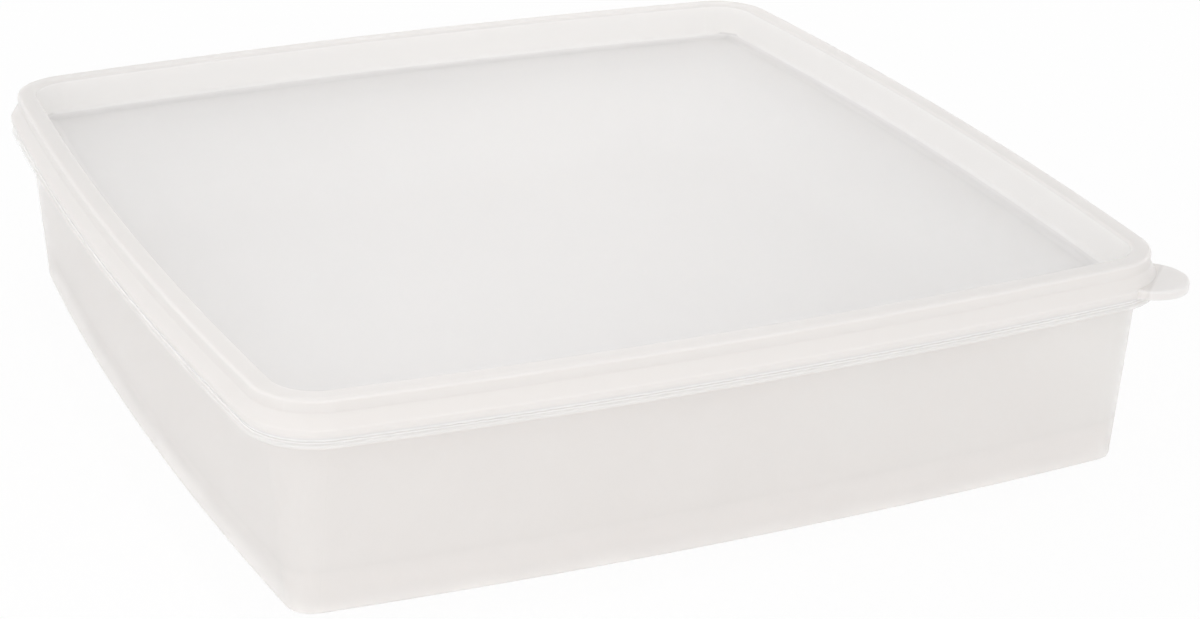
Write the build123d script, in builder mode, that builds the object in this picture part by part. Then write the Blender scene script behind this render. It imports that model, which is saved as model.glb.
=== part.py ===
from build123d import *
import os
from math import asin, atan, cos, degrees, sin, sqrt, tan

os.makedirs("parts", exist_ok=True)

# A square, shallow food storage container in two pieces: a tub and a lid that snaps over its rim.
# Sizes are in millimetres. The origin is on the table, under the middle of the tub, with +Z up.
# The sides of the tub and the lid bow outwards a little, and the lid's tab is at the +X -Y corner.

# Overall sizes, at the lid's upper edge
lid_width = 299.6
overall_height = 69.5
rim_side_radius = 1600.0
rim_corner_radius = 20.0

# Lid: plastic thickness, and the sunk panel inside its rim
lid_thickness = 1.4
plug_inset = 5.0
plug_lean = 1.2
panel_depth = 11.5
panel_corner_fillet = 1.6
rim_edge_fillet = 1.1

# Lid: outer skirt, an upright band that flares out to a wider one, which draws in again at its foot
upper_band_depth = 4.0
flare_height = 4.2
skirt_step = 2.6
lower_band_height = 1.4
skirt_depth = 11.8
skirt_foot_draw = 0.9
skirt_curve = 1.2
skirt_edge_fillet = 0.4
plug_foot_fillet = 1.2
channel_fillet = 0.2

# Lid: ridge inside the foot of the skirt, which snaps under the tub's bead
ridge_height = 0.6
ridge_slope = 1.2

# Lid: lifting tab, a hollow tongue that grows out of the wider band at one corner
tab_reach = 10.0
tab_half_width = 12.0
tab_half_length = 12.4
tab_top_depth = 7.5
tab_height = 2.9
tab_top_fillet = 0.8

# Tub: wall, floor and foot
wall_thickness = 1.6
wall_lean = 5.5
base_corner_radius = 8.0
floor_thickness = 1.8
floor_corner_fillet = 2.4
foot_height = 1.5
foot_width = 3.0
foot_edge_fillet = 0.8

# Tub: bead around the rim, which the lid closes over
bead_height = 1.2
bead_fall = 2.6
bead_edge_fillet = 0.3
mouth_chamfer = 0.4

# Tub: ledge around the wall, just below the lid's skirt, with a sloped upper edge
ledge_gap = 0.1
ledge_thickness = 1.9
ledge_inset = 0.2
ledge_slope = 0.9
ledge_edge_fillet = 0.3

# Clearances between lid and tub: sideways, upright under the flare, and around the plug
side_clearance = 0.3
flare_clearance = 0.75
plug_clearance = 0.8

# Places worked out from the sizes above
lid_half_width = lid_width / 2
rim_top = overall_height - lid_thickness
ledge_top_depth = skirt_depth + ledge_gap
ledge_bottom_depth = ledge_top_depth + ledge_thickness
floor_top = foot_height + floor_thickness
panel_top = overall_height - panel_depth

# The tub's wall at its rim lies outside the lid's plug
wall_inner_inset = plug_inset - plug_clearance
wall_outer_inset = wall_inner_inset - wall_thickness


# Place of the rim's corner centres along X and Y, where each corner meets both bowed sides smoothly
rim_side_offset = rim_side_radius - lid_half_width
rim_reach = rim_side_radius - rim_corner_radius
rim_corner_place = (sqrt(2 * rim_reach**2 - rim_side_offset**2) - rim_side_offset) / 2

# Half the angle that each side turns through, the same at the rim and at the base, so the walls stay smooth
side_turn = asin(rim_corner_place / rim_reach)
side_angle = degrees(side_turn)


def draw_outline(half_width, corner_radius):
    """Draws four bowed sides and four round corners, from the middle of the +X side."""
    corner_share = cos(side_turn) - sin(side_turn)
    side_radius = (half_width - corner_radius * corner_share) / (1 - corner_share)
    side_offset = side_radius - half_width
    corner = (side_radius - corner_radius) * sin(side_turn)
    for turn in range(4):
        start = 90 * turn
        side_centre = Vector(-side_offset, 0).rotate(Axis.Z, start)
        corner_centre = Vector(corner, corner).rotate(Axis.Z, start)
        next_centre = Vector(-side_offset, 0).rotate(Axis.Z, start + 90)
        CenterArc(side_centre, side_radius, start, side_angle)
        CenterArc(corner_centre, corner_radius, start + side_angle, 90 - 2 * side_angle)
        CenterArc(next_centre, side_radius, start + 90 - side_angle, side_angle)


def draw_rim_outline(inset):
    """Draws the lid's upper outline, moved inwards by an inset."""
    draw_outline(lid_half_width - inset, rim_corner_radius - inset)


def draw_wall_outline(height, inset):
    """Draws the tub's outer outline at a height, moved inwards by an inset."""
    share = height / rim_top
    rim_half_width = lid_half_width - wall_outer_inset
    half_width = rim_half_width - wall_lean * (1 - share)
    rim_corner = rim_corner_radius - wall_outer_inset
    corner_radius = base_corner_radius + (rim_corner - base_corner_radius) * share
    draw_outline(half_width - inset, corner_radius - inset)


def wall_middle(drop):
    """How far inside the lid's upper edge the middle of the tub's wall is, at a depth below the lid's top."""
    share = (overall_height - drop) / rim_top
    return wall_outer_inset + wall_thickness / 2 + wall_lean * (1 - share)


def corner_reach(inset):
    """Distance from the middle to the corner of the lid's upper outline, moved inwards by an inset."""
    return rim_corner_place * sqrt(2) + rim_corner_radius - inset


# Sections of the rim are drawn outwards from the lid's upper edge, with heights counted down from its top
rim_section = Plane((lid_half_width, 0, overall_height), x_dir=(1, 0, 0), z_dir=(0, -1, 0))


def sweep_section(corners):
    """Sweeps a closed section around the rim, from pairs of a corner and its rounding."""
    points, roundings = zip(*corners)
    with BuildLine() as path:
        draw_rim_outline(0)
    with BuildSketch(rim_section) as section:
        with BuildLine():
            FilletPolyline(*points, radius=roundings, close=True)
        make_face()
    sweep(section.sketch, path.line)


# Heights of the flare in the lid's skirt, outside and inside, counted down from the lid's top
flare_bottom = upper_band_depth + flare_height
flare_turn = atan(skirt_step / flare_height)
inner_flare_top = upper_band_depth + lid_thickness * tan(flare_turn / 2)
inner_flare_bottom = inner_flare_top + flare_height
band_inner = skirt_step - lid_thickness
ridge_top = skirt_depth - ridge_height

# The bead lies under the lid's flare and as steep, and its crown just inside the ridge
ridge_inner = band_inner - ridge_slope
bead_outer = ridge_inner - side_clearance
rim_outer = -lid_thickness - side_clearance
bead_top = inner_flare_top + flare_clearance - side_clearance / tan(flare_turn)
bead_crown_top = bead_top + (bead_outer - rim_outer) / tan(flare_turn)
bead_crown_bottom = bead_crown_top + bead_height
bead_bottom = bead_crown_bottom + bead_fall


with BuildPart() as tub:
    # Tapered body
    with BuildSketch(Plane.XY):
        with BuildLine():
            draw_wall_outline(0, 0)
        make_face()
    with BuildSketch(Plane.XY.offset(rim_top)):
        with BuildLine():
            draw_wall_outline(rim_top, 0)
        make_face()
    loft(ruled=True)
    fillet(tub.faces().sort_by(Axis.Z)[0].edges(), foot_edge_fillet)

    # Hollow, with a chamfer at its mouth
    mouth_bottom = rim_top - mouth_chamfer
    with BuildSketch(Plane.XY.offset(floor_top)):
        with BuildLine():
            draw_wall_outline(floor_top, wall_thickness)
        make_face()
    with BuildSketch(Plane.XY.offset(mouth_bottom)):
        with BuildLine():
            draw_wall_outline(mouth_bottom, wall_thickness)
        make_face()
    with BuildSketch(Plane.XY.offset(rim_top)):
        with BuildLine():
            draw_wall_outline(rim_top, wall_thickness - mouth_chamfer)
        make_face()
    loft(ruled=True, mode=Mode.SUBTRACT)
    floor_face = tub.faces().filter_by(Plane.XY).filter_by_position(Axis.Z, floor_top - 0.01, floor_top + 0.01)
    fillet(floor_face.edges(), floor_corner_fillet)

    # Shallow recess under the floor, which leaves a foot around its edge
    with BuildSketch(Plane.XY):
        with BuildLine():
            draw_wall_outline(0, foot_width)
        make_face()
    extrude(amount=foot_height, mode=Mode.SUBTRACT)

    # Ledge around the wall
    ledge_outer = skirt_step - ledge_inset
    ledge_corners = [
        ((-wall_middle(ledge_bottom_depth), -ledge_bottom_depth), 0),
        ((ledge_outer, -ledge_bottom_depth), ledge_edge_fillet),
        ((ledge_outer, -ledge_top_depth - ledge_slope), ledge_edge_fillet),
        ((ledge_outer - ledge_slope, -ledge_top_depth), ledge_edge_fillet),
        ((-wall_middle(ledge_top_depth), -ledge_top_depth), 0),
    ]
    sweep_section(ledge_corners)

    # Bead around the rim
    bead_corners = [
        ((-wall_middle(lid_thickness), -lid_thickness), 0),
        ((rim_outer, -lid_thickness), bead_edge_fillet),
        ((rim_outer, -bead_top), bead_edge_fillet),
        ((bead_outer, -bead_crown_top), bead_edge_fillet),
        ((bead_outer, -bead_crown_bottom), bead_edge_fillet),
        ((-wall_middle(bead_bottom), -bead_bottom), 0),
    ]
    sweep_section(bead_corners)

tub.part.label = "tub"
export_step(tub.part, "parts/tub.step")


with BuildPart() as lid:
    # Rim: plug wall, channel and skirt in one section, each corner with its rounding
    panel_bottom = panel_depth + lid_thickness
    plug_foot = -plug_inset - plug_lean
    panel_joint = plug_foot - 2 * lid_thickness - panel_corner_fillet
    rim_corners = [
        ((panel_joint, -panel_depth), 0),
        ((plug_foot - lid_thickness, -panel_depth), panel_corner_fillet),
        ((-plug_inset - lid_thickness, 0), rim_edge_fillet),
        ((0, 0), rim_edge_fillet),
        ((0, -upper_band_depth), skirt_curve),
        ((skirt_step, -flare_bottom), skirt_curve),
        ((skirt_step, -flare_bottom - lower_band_height), skirt_curve),
        ((skirt_step - skirt_foot_draw, -skirt_depth), skirt_edge_fillet),
        ((ridge_inner, -skirt_depth), channel_fillet),
        ((ridge_inner, -ridge_top), channel_fillet),
        ((band_inner, -ridge_top + ridge_slope), channel_fillet),
        ((band_inner, -inner_flare_bottom), channel_fillet),
        ((-lid_thickness, -inner_flare_top), channel_fillet),
        ((-lid_thickness, -lid_thickness), channel_fillet),
        ((-plug_inset, -lid_thickness), channel_fillet),
        ((plug_foot, -panel_bottom), plug_foot_fillet),
        ((panel_joint, -panel_bottom), 0),
    ]
    sweep_section(rim_corners)

    # Sunk panel
    with BuildSketch(Plane.XY.offset(panel_top)):
        with BuildLine():
            draw_rim_outline(-panel_joint - lid_thickness)
        make_face()
    extrude(amount=-lid_thickness)

    # Tab: a tongue from the middle of the skirt's wall, hollow on its underside
    tab_bottom = overall_height - tab_top_depth - tab_height
    tab_middle = (corner_reach(-skirt_step) + tab_reach - tab_half_length) / sqrt(2)
    tab_place = Location((tab_middle, -tab_middle, 0), (0, 0, -45))
    with BuildSketch(Plane.XY.offset(tab_bottom)):
        with Locations(tab_place):
            Ellipse(tab_half_length, tab_half_width)
        with BuildLine():
            draw_rim_outline(-skirt_step + lid_thickness / 2)
        make_face(mode=Mode.SUBTRACT)
    extrude(amount=tab_height)
    with BuildSketch(Plane.XY.offset(tab_bottom)):
        with Locations(tab_place):
            Ellipse(tab_half_length - lid_thickness, tab_half_width - lid_thickness)
        with BuildLine():
            draw_rim_outline(-skirt_step)
        make_face(mode=Mode.SUBTRACT)
    extrude(amount=tab_height - lid_thickness, mode=Mode.SUBTRACT)
    tab_edges = lid.edges().filter_by(GeomType.ELLIPSE)
    fillet(tab_edges.group_by(Axis.Z)[-1], tab_top_fillet)

lid.part.label = "lid"
export_step(lid.part, "parts/lid.step")
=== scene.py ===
"""Looks of a square food storage container in milky plastic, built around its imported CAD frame."""
import math

import bpy
from mathutils import Matrix, Vector

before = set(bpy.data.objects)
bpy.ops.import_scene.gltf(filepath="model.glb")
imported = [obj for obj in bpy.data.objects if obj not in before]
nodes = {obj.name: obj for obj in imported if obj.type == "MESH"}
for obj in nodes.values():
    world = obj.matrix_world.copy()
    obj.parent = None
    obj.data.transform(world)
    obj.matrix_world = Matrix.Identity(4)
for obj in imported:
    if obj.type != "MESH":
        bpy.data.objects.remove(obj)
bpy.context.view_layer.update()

# Camera, at the photograph's viewing angle: angles in degrees, distances in metres, lens in millimetres
CAMERA_AZIMUTH = -25.13
CAMERA_ELEVATION = 23.25
CAMERA_ROLL = 1.38
CAMERA_DISTANCE = 0.95765
CAMERA_RIGHT = 0.01754
CAMERA_UP = 0.01600
CAMERA_LENS = 85.346

# Bowed sides of the lid's upper outline: radius in metres, and how far its centre lies beyond the middle
SIDE_RADIUS = 1.6
SIDE_OFFSET = 1.4502

# Heights above the table, in metres, over which one tone turns into the next
FOOT = (0.002, 0.014)
LEDGE = (0.0545, 0.056)
SEAM = (0.0571, 0.0574)
LID_RIM = (0.0582, 0.0592)
PANEL_CORNER = (0.061, 0.064)
RIM_TOP = (0.0685, 0.0693)

# Distances inside the lid's upper outline, in metres, over which one tone turns into the next
PANEL_BORDER = (0.03, 0.0085)
PANEL_EDGE = (0.014, 0.0085)
PLUG_FOOT = (0.0095, 0.0085)
PLUG_BACK = (0.0055, 0.0045)

# X minus Y in metres, which grows along the diagonal through the tab, where the tab leaves the skirt
TAB_ROOT = (0.2795, 0.2825)

# Size of a normal's Z part, from a steep face to a sloping one
STEEP = (0.2, 0.7)

# Share of what lies behind it that the plastic covers: in a plain wall, and where it is densest
THIN_COVER = 0.6
DENSE_COVER = 0.95

WARM_WHITE = (1.0, 0.95, 0.93)


def add_camera():
    """Places the camera on the line of sight through the container's middle, shifted sideways and up."""
    azimuth = math.radians(CAMERA_AZIMUTH)
    elevation = math.radians(CAMERA_ELEVATION)
    roll = math.radians(CAMERA_ROLL)
    back = Vector((
        math.sin(azimuth) * math.cos(elevation),
        -math.cos(azimuth) * math.cos(elevation),
        math.sin(elevation),
    ))
    level = (-back).cross(Vector((0, 0, 1))).normalized()
    raised = level.cross(-back)
    right = math.cos(roll) * level + math.sin(roll) * raised
    up = math.cos(roll) * raised - math.sin(roll) * level
    data = bpy.data.cameras.new("camera")
    data.lens = CAMERA_LENS
    data.sensor_width = 36
    data.clip_start = 0.01
    camera = bpy.data.objects.new("camera", data)
    bpy.context.scene.collection.objects.link(camera)
    turned = Matrix((right, up, back)).transposed().to_4x4()
    turned.translation = back * CAMERA_DISTANCE + right * CAMERA_RIGHT + up * CAMERA_UP
    camera.matrix_world = turned
    bpy.context.scene.camera = camera


def noise_factor(tree, coordinates, scale, detail, roughness=0.5):
    """Adds a noise texture on the given coordinates and returns its factor output."""
    noise = tree.nodes.new("ShaderNodeTexNoise")
    noise.inputs["Scale"].default_value = scale
    noise.inputs["Detail"].default_value = detail
    noise.inputs["Roughness"].default_value = roughness
    tree.links.new(coordinates, noise.inputs["Vector"])
    return noise.outputs["Fac"]


def split_axes(tree, vector):
    """Splits a vector socket, and returns its parts under the names X, Y and Z."""
    axes = tree.nodes.new("ShaderNodeSeparateXYZ")
    tree.links.new(vector, axes.inputs["Vector"])
    return axes.outputs


def spread(tree, factor, source, target):
    """Maps a factor from one range to another."""
    mapped = tree.nodes.new("ShaderNodeMapRange")
    mapped.inputs["From Min"].default_value = source[0]
    mapped.inputs["From Max"].default_value = source[1]
    mapped.inputs["To Min"].default_value = target[0]
    mapped.inputs["To Max"].default_value = target[1]
    tree.links.new(factor, mapped.inputs["Value"])
    return mapped.outputs["Result"]


def spread_inside(tree, reach, insets, target):
    """Maps a point's distance inside the lid's upper outline to a range."""
    return spread(tree, reach, (SIDE_RADIUS - insets[0], SIDE_RADIUS - insets[1]), target)


def blend_colours(tree, factor, first, second):
    """Mixes two colours, each a value or a socket, and returns the result's socket."""
    mix = tree.nodes.new("ShaderNodeMix")
    mix.data_type = "RGBA"
    tree.links.new(factor, mix.inputs["Factor"])
    for name, colour in (("A", first), ("B", second)):
        if isinstance(colour, tuple):
            mix.inputs[name].default_value = colour
        else:
            tree.links.new(colour, mix.inputs[name])
    return mix.outputs["Result"]


def calculate(tree, operation, *values):
    """Adds a math node on one or two values, each a number or a socket, and returns its result."""
    node = tree.nodes.new("ShaderNodeMath")
    node.operation = operation
    for value, socket in zip(values, node.inputs):
        if isinstance(value, float):
            socket.default_value = value
        else:
            tree.links.new(value, socket)
    return node.outputs["Value"]


def highest(tree, first, *others):
    """Picks the highest of several sockets, two at a time."""
    for other in others:
        first = calculate(tree, "MAXIMUM", first, other)
    return first


def milky_plastic(name, deep, pale, gloss):
    """Natural moulded plastic, cloudy inside and satin outside; finish_plastic links its colour and cover."""
    material = bpy.data.materials.new(name)
    material.use_nodes = True
    tree = material.node_tree
    tree.nodes.clear()
    output = tree.nodes.new("ShaderNodeOutputMaterial")
    shader = tree.nodes.new("ShaderNodeBsdfPrincipled")
    place = tree.nodes.new("ShaderNodeTexCoord").outputs["Object"]

    # Cloudiness: wide soft patches, with finer flow marks over them
    patches = noise_factor(tree, place, scale=9, detail=2)
    marks = noise_factor(tree, place, scale=60, detail=4, roughness=0.6)
    both = tree.nodes.new("ShaderNodeMix")
    both.inputs["Factor"].default_value = 0.3
    tree.links.new(patches, both.inputs["A"])
    tree.links.new(marks, both.inputs["B"])
    cloud = spread(tree, both.outputs["Result"], (0.35, 0.65), (0, 1))
    colour = blend_colours(tree, cloud, deep, pale)

    # Satin: handling leaves slightly duller and shinier places
    dull = noise_factor(tree, place, scale=35, detail=3, roughness=0.6)
    tree.links.new(spread(tree, dull, (0, 1), gloss), shader.inputs["Roughness"])

    # Mould surface: a very fine grain
    grain = noise_factor(tree, place, scale=900, detail=2)
    bump = tree.nodes.new("ShaderNodeBump")
    bump.inputs["Strength"].default_value = 0.06
    bump.inputs["Distance"].default_value = 0.0002
    tree.links.new(grain, bump.inputs["Height"])
    tree.links.new(bump.outputs["Normal"], shader.inputs["Normal"])

    # Light spreads about a millimetre inside the plastic
    shader.inputs["IOR"].default_value = 1.5
    shader.inputs["Subsurface Weight"].default_value = 1.0
    shader.inputs["Subsurface Radius"].default_value = (1.0, 1.0, 1.0)
    shader.inputs["Subsurface Scale"].default_value = 0.001
    tree.links.new(shader.outputs["BSDF"], output.inputs["Surface"])
    return material, shader, split_axes(tree, place), colour


def finish_plastic(tree, shader, colour, dense):
    """Links the plastic's colour, and its cover, which grows with how dense the plastic is."""
    tree.links.new(spread(tree, dense, (0, 1), (THIN_COVER, DENSE_COVER)), shader.inputs["Alpha"])
    tree.links.new(colour, shader.inputs["Base Color"])


def bowed_reach(tree, axes):
    """How far a point is from the far centre of the bowed side next to it, in metres."""
    lengths = []
    for across, along in (("X", "Y"), ("Y", "X")):
        size = calculate(tree, "ABSOLUTE", axes[across])
        flat = tree.nodes.new("ShaderNodeCombineXYZ")
        tree.links.new(calculate(tree, "ADD", size, SIDE_OFFSET), flat.inputs["X"])
        tree.links.new(axes[along], flat.inputs["Y"])
        length = tree.nodes.new("ShaderNodeVectorMath")
        length.operation = "LENGTH"
        tree.links.new(flat.outputs["Vector"], length.inputs[0])
        lengths.append(length.outputs["Value"])
    return highest(tree, *lengths)


def tub_plastic():
    """The tub's plastic: painted light along its ledge and in the seam over it, painted shade at its foot,
    and denser at the foot and the seam.
    """
    deep = (0.907, 0.885, 0.87, 1)
    pale = (0.927, 0.905, 0.89, 1)
    # Painted light along the ledge and in the seam, and painted shade at the foot
    ledge_painted_light = (0.985, 0.942, 0.908, 1)
    seam_painted_light = (0.96, 0.94, 0.925, 1)
    foot_painted_shade = (0.885, 0.86, 0.842, 1)
    material, shader, axes, colour = milky_plastic("tub_plastic", deep, pale, gloss=(0.22, 0.42))
    tree = material.node_tree

    # Ledge and upwards: painted light, paler and warmer, standing in for the light that several thicknesses
    # of plastic lying over each other scatter back
    upper = spread(tree, axes["Z"], LEDGE, (0, 1))
    colour = blend_colours(tree, upper, colour, ledge_painted_light)

    # Foot: painted shade, greyer towards the bottom, with a denser cover there
    low = spread(tree, axes["Z"], FOOT, (1, 0))
    colour = blend_colours(tree, low, colour, foot_painted_shade)
    low_density = spread(tree, low, (0, 1), (0, 0.7))

    # Ledge's top and the rim over it: painted light, paler than the wall and cooler than the ledge, lifting
    # the shade in the narrow seam; the cover is denser there
    shelf = spread(tree, axes["Z"], SEAM, (0, 1))
    colour = blend_colours(tree, shelf, colour, seam_painted_light)
    shelf_density = spread(tree, shelf, (0, 1), (0, 0.6))

    finish_plastic(tree, shader, colour, highest(tree, low_density, shelf_density))
    return material


def lid_plastic():
    """The lid's plastic: a pale panel with painted light towards the rim, a rim in painted shade with painted
    light on its inner side, and a thin tab greyed by painted shade.
    """
    deep = (0.932, 0.919, 0.921, 1)
    pale = (0.952, 0.933, 0.922, 1)
    # Painted shade on the rim and the tab, and painted light on the rim's inner side and along the panel's
    # border
    rim_painted_shade = (0.893, 0.868, 0.85, 1)
    inner_painted_light = (0.922, 0.909, 0.897, 1)
    border_painted_light = (0.99, 0.972, 0.96, 1)
    tab_painted_shade = (0.825, 0.808, 0.796, 1)
    material, shader, axes, colour = milky_plastic("lid_plastic", deep, pale, gloss=(0.25, 0.45))
    tree = material.node_tree
    shader.inputs["Specular IOR Level"].default_value = 0.3

    # Rim: painted shade, darker and warmer than the panel, standing in for the light through several
    # thicknesses of plastic that lie over each other; the cover is denser there
    raised = spread(tree, axes["Z"], LID_RIM, (0, 1))
    colour = blend_colours(tree, raised, colour, rim_painted_shade)
    rim_density = spread(tree, raised, (0, 1), (0, 0.6))

    # Panel: painted light, paler and denser towards the rim, lifting the shade and the blocked reflection
    # along the rim's foot; so is the skirt's foot, which lies at the same height
    reach = bowed_reach(tree, axes)
    sunk = spread(tree, raised, (0, 1), (1, 0))
    border = calculate(tree, "MULTIPLY", spread_inside(tree, reach, PANEL_BORDER, (0, 1)), sunk)
    colour = blend_colours(tree, border, colour, border_painted_light)
    edge_density = calculate(tree, "MULTIPLY", spread_inside(tree, reach, PANEL_EDGE, (0, 0.8)), sunk)

    # Inner side of the rim: painted light on its steep faces and on the rounded corner around the panel,
    # lifting the shade there
    normal = tree.nodes.new("ShaderNodeNewGeometry").outputs["Normal"]
    upright = spread(tree, calculate(tree, "ABSOLUTE", split_axes(tree, normal)["Z"]), STEEP, (1, 0))
    rounded = spread(tree, axes["Z"], PANEL_CORNER, (1, 0))
    facing = highest(tree, upright, rounded)
    from_foot = highest(tree, spread_inside(tree, reach, PLUG_FOOT, (0, 1)), raised)
    up_to_back = spread_inside(tree, reach, PLUG_BACK, (1, 0))
    ring = calculate(tree, "MULTIPLY", from_foot, up_to_back)

    # The rim's flat top takes a tenth of the same painted light
    crown = spread(tree, axes["Z"], RIM_TOP, (0, 0.1))
    inner_light_mask = highest(tree, calculate(tree, "MULTIPLY", facing, ring), crown)
    colour = blend_colours(tree, inner_light_mask, colour, inner_painted_light)

    # Tab: painted shade, greyer and with a denser cover, beyond the corner of the skirt, on the diagonal
    diagonal = calculate(tree, "SUBTRACT", axes["X"], axes["Y"])
    beyond = spread(tree, diagonal, TAB_ROOT, (0, 1))
    colour = blend_colours(tree, beyond, colour, tab_painted_shade)

    finish_plastic(tree, shader, colour, highest(tree, beyond, inner_light_mask, rim_density, edge_density))
    return material


def seen_rays(tree, share):
    """A factor that is the given share for camera, glossy and transmission rays, and zero for all others."""
    rays = tree.nodes.new("ShaderNodeLightPath").outputs
    seen = highest(tree, rays["Is Camera Ray"], rays["Is Glossy Ray"], rays["Is Transmission Ray"])
    return calculate(tree, "MULTIPLY", seen, share)


def mix_white(tree, kind, lit, output, share):
    """Links a lit shader to an output, with plain white of a kind taking a share of it for seen rays."""
    white = tree.nodes.new(kind)
    white.inputs["Color"].default_value = (1, 1, 1, 1)
    white.inputs["Strength"].default_value = 1.0
    mix = tree.nodes.new("ShaderNodeMixShader")
    tree.links.new(seen_rays(tree, share), mix.inputs["Fac"])
    tree.links.new(lit, mix.inputs[1])
    tree.links.new(white.outputs[0], mix.inputs[2])
    tree.links.new(mix.outputs["Shader"], output.inputs["Surface"])


def add_floor():
    """A wide pale floor, shown as white with only the container's soft shadow on it."""
    half = 6.0
    corners = [(-half, -half, 0), (half, -half, 0), (half, half, 0), (-half, half, 0)]
    mesh = bpy.data.meshes.new("floor")
    mesh.from_pydata(corners, [], [(0, 1, 2, 3)])
    floor = bpy.data.objects.new("floor", mesh)
    bpy.context.scene.collection.objects.link(floor)
    material = bpy.data.materials.new("floor")
    material.use_nodes = True
    tree = material.node_tree
    tree.nodes.clear()
    output = tree.nodes.new("ShaderNodeOutputMaterial")
    matte = tree.nodes.new("ShaderNodeBsdfDiffuse")
    matte.inputs["Color"].default_value = (0.97, 0.97, 0.97, 1)
    mix_white(tree, "ShaderNodeEmission", matte.outputs["BSDF"], output, share=0.9)
    mesh.materials.append(material)


def add_world():
    """A soft light all round, brighter low down than overhead, and seen as white."""
    low_strength = 1.215
    overhead_strength = 0.77
    world = bpy.data.worlds.new("studio")
    bpy.context.scene.world = world
    world.use_nodes = True
    tree = world.node_tree
    tree.nodes.clear()
    output = tree.nodes.new("ShaderNodeOutputWorld")
    soft = tree.nodes.new("ShaderNodeBackground")
    soft.inputs["Color"].default_value = (1, 1, 1, 1)
    direction = split_axes(tree, tree.nodes.new("ShaderNodeTexCoord").outputs["Generated"])
    strength = spread(tree, direction["Z"], (0, 1), (low_strength, overhead_strength))
    tree.links.new(strength, soft.inputs["Strength"])
    mix_white(tree, "ShaderNodeBackground", soft.outputs["Background"], output, share=1.0)


def add_lamp(name, kind, place, power, colour):
    """Adds a lamp of a kind at a place, and returns its object."""
    data = bpy.data.lights.new(name, kind)
    data.energy = power
    data.color = colour
    lamp = bpy.data.objects.new(name, data)
    lamp.location = place
    bpy.context.scene.collection.objects.link(lamp)
    return lamp


def add_softbox(name, place, width, height, power, colour=(1, 1, 1)):
    """A large rectangular lamp aimed at the container."""
    container_middle = Vector((0, 0, 0.03))
    lamp = add_lamp(name, "AREA", place, power, colour)
    lamp.data.shape = "RECTANGLE"
    lamp.data.size = width
    lamp.data.size_y = height
    lamp.rotation_euler = (container_middle - Vector(place)).to_track_quat("-Z", "Y").to_euler()


def add_spot(name, place, turn, angle, stretch, power, colour):
    """A soft oval patch of light from overhead: turn and cone angle in degrees, stretched along its Y."""
    lamp = add_lamp(name, "SPOT", place, power, colour)
    lamp.data.spot_size = math.radians(angle)
    lamp.data.spot_blend = 1.0
    lamp.data.shadow_soft_size = 0.1
    lamp.rotation_euler = (0, 0, math.radians(turn))
    lamp.scale = (1, stretch, 1)


add_camera()
add_floor()
add_world()
add_softbox("softbox_left", (-1.6, -0.3, 0.45), width=1.2, height=0.8, power=1.3)
add_softbox("softbox_front", (-0.6, -1.48, 0.45), width=1.2, height=0.8, power=2.6)
add_softbox("softbox_back", (0.57, 1.36, 0.75), width=0.6, height=1.4, power=0.9, colour=WARM_WHITE)

# Over the panel, stretched about along the diagonal from the near corner to the far one
add_spot("spot_top", (-0.03, -0.015, 1.6), turn=-42, angle=12, stretch=2.3, power=10.4, colour=WARM_WHITE)

for name, material in (("tub", tub_plastic()), ("lid", lid_plastic())):
    for slot in nodes[name].material_slots:
        slot.material = material

bpy.context.scene.view_settings.view_transform = "Standard"

# A sight line crosses up to a dozen milky walls at the rim, and light bounces many times inside the tub
paths = bpy.context.scene.cycles
paths.transparent_max_bounces = 40
paths.max_bounces = 20
paths.diffuse_bounces = 12
paths.sample_clamp_indirect = 2.0
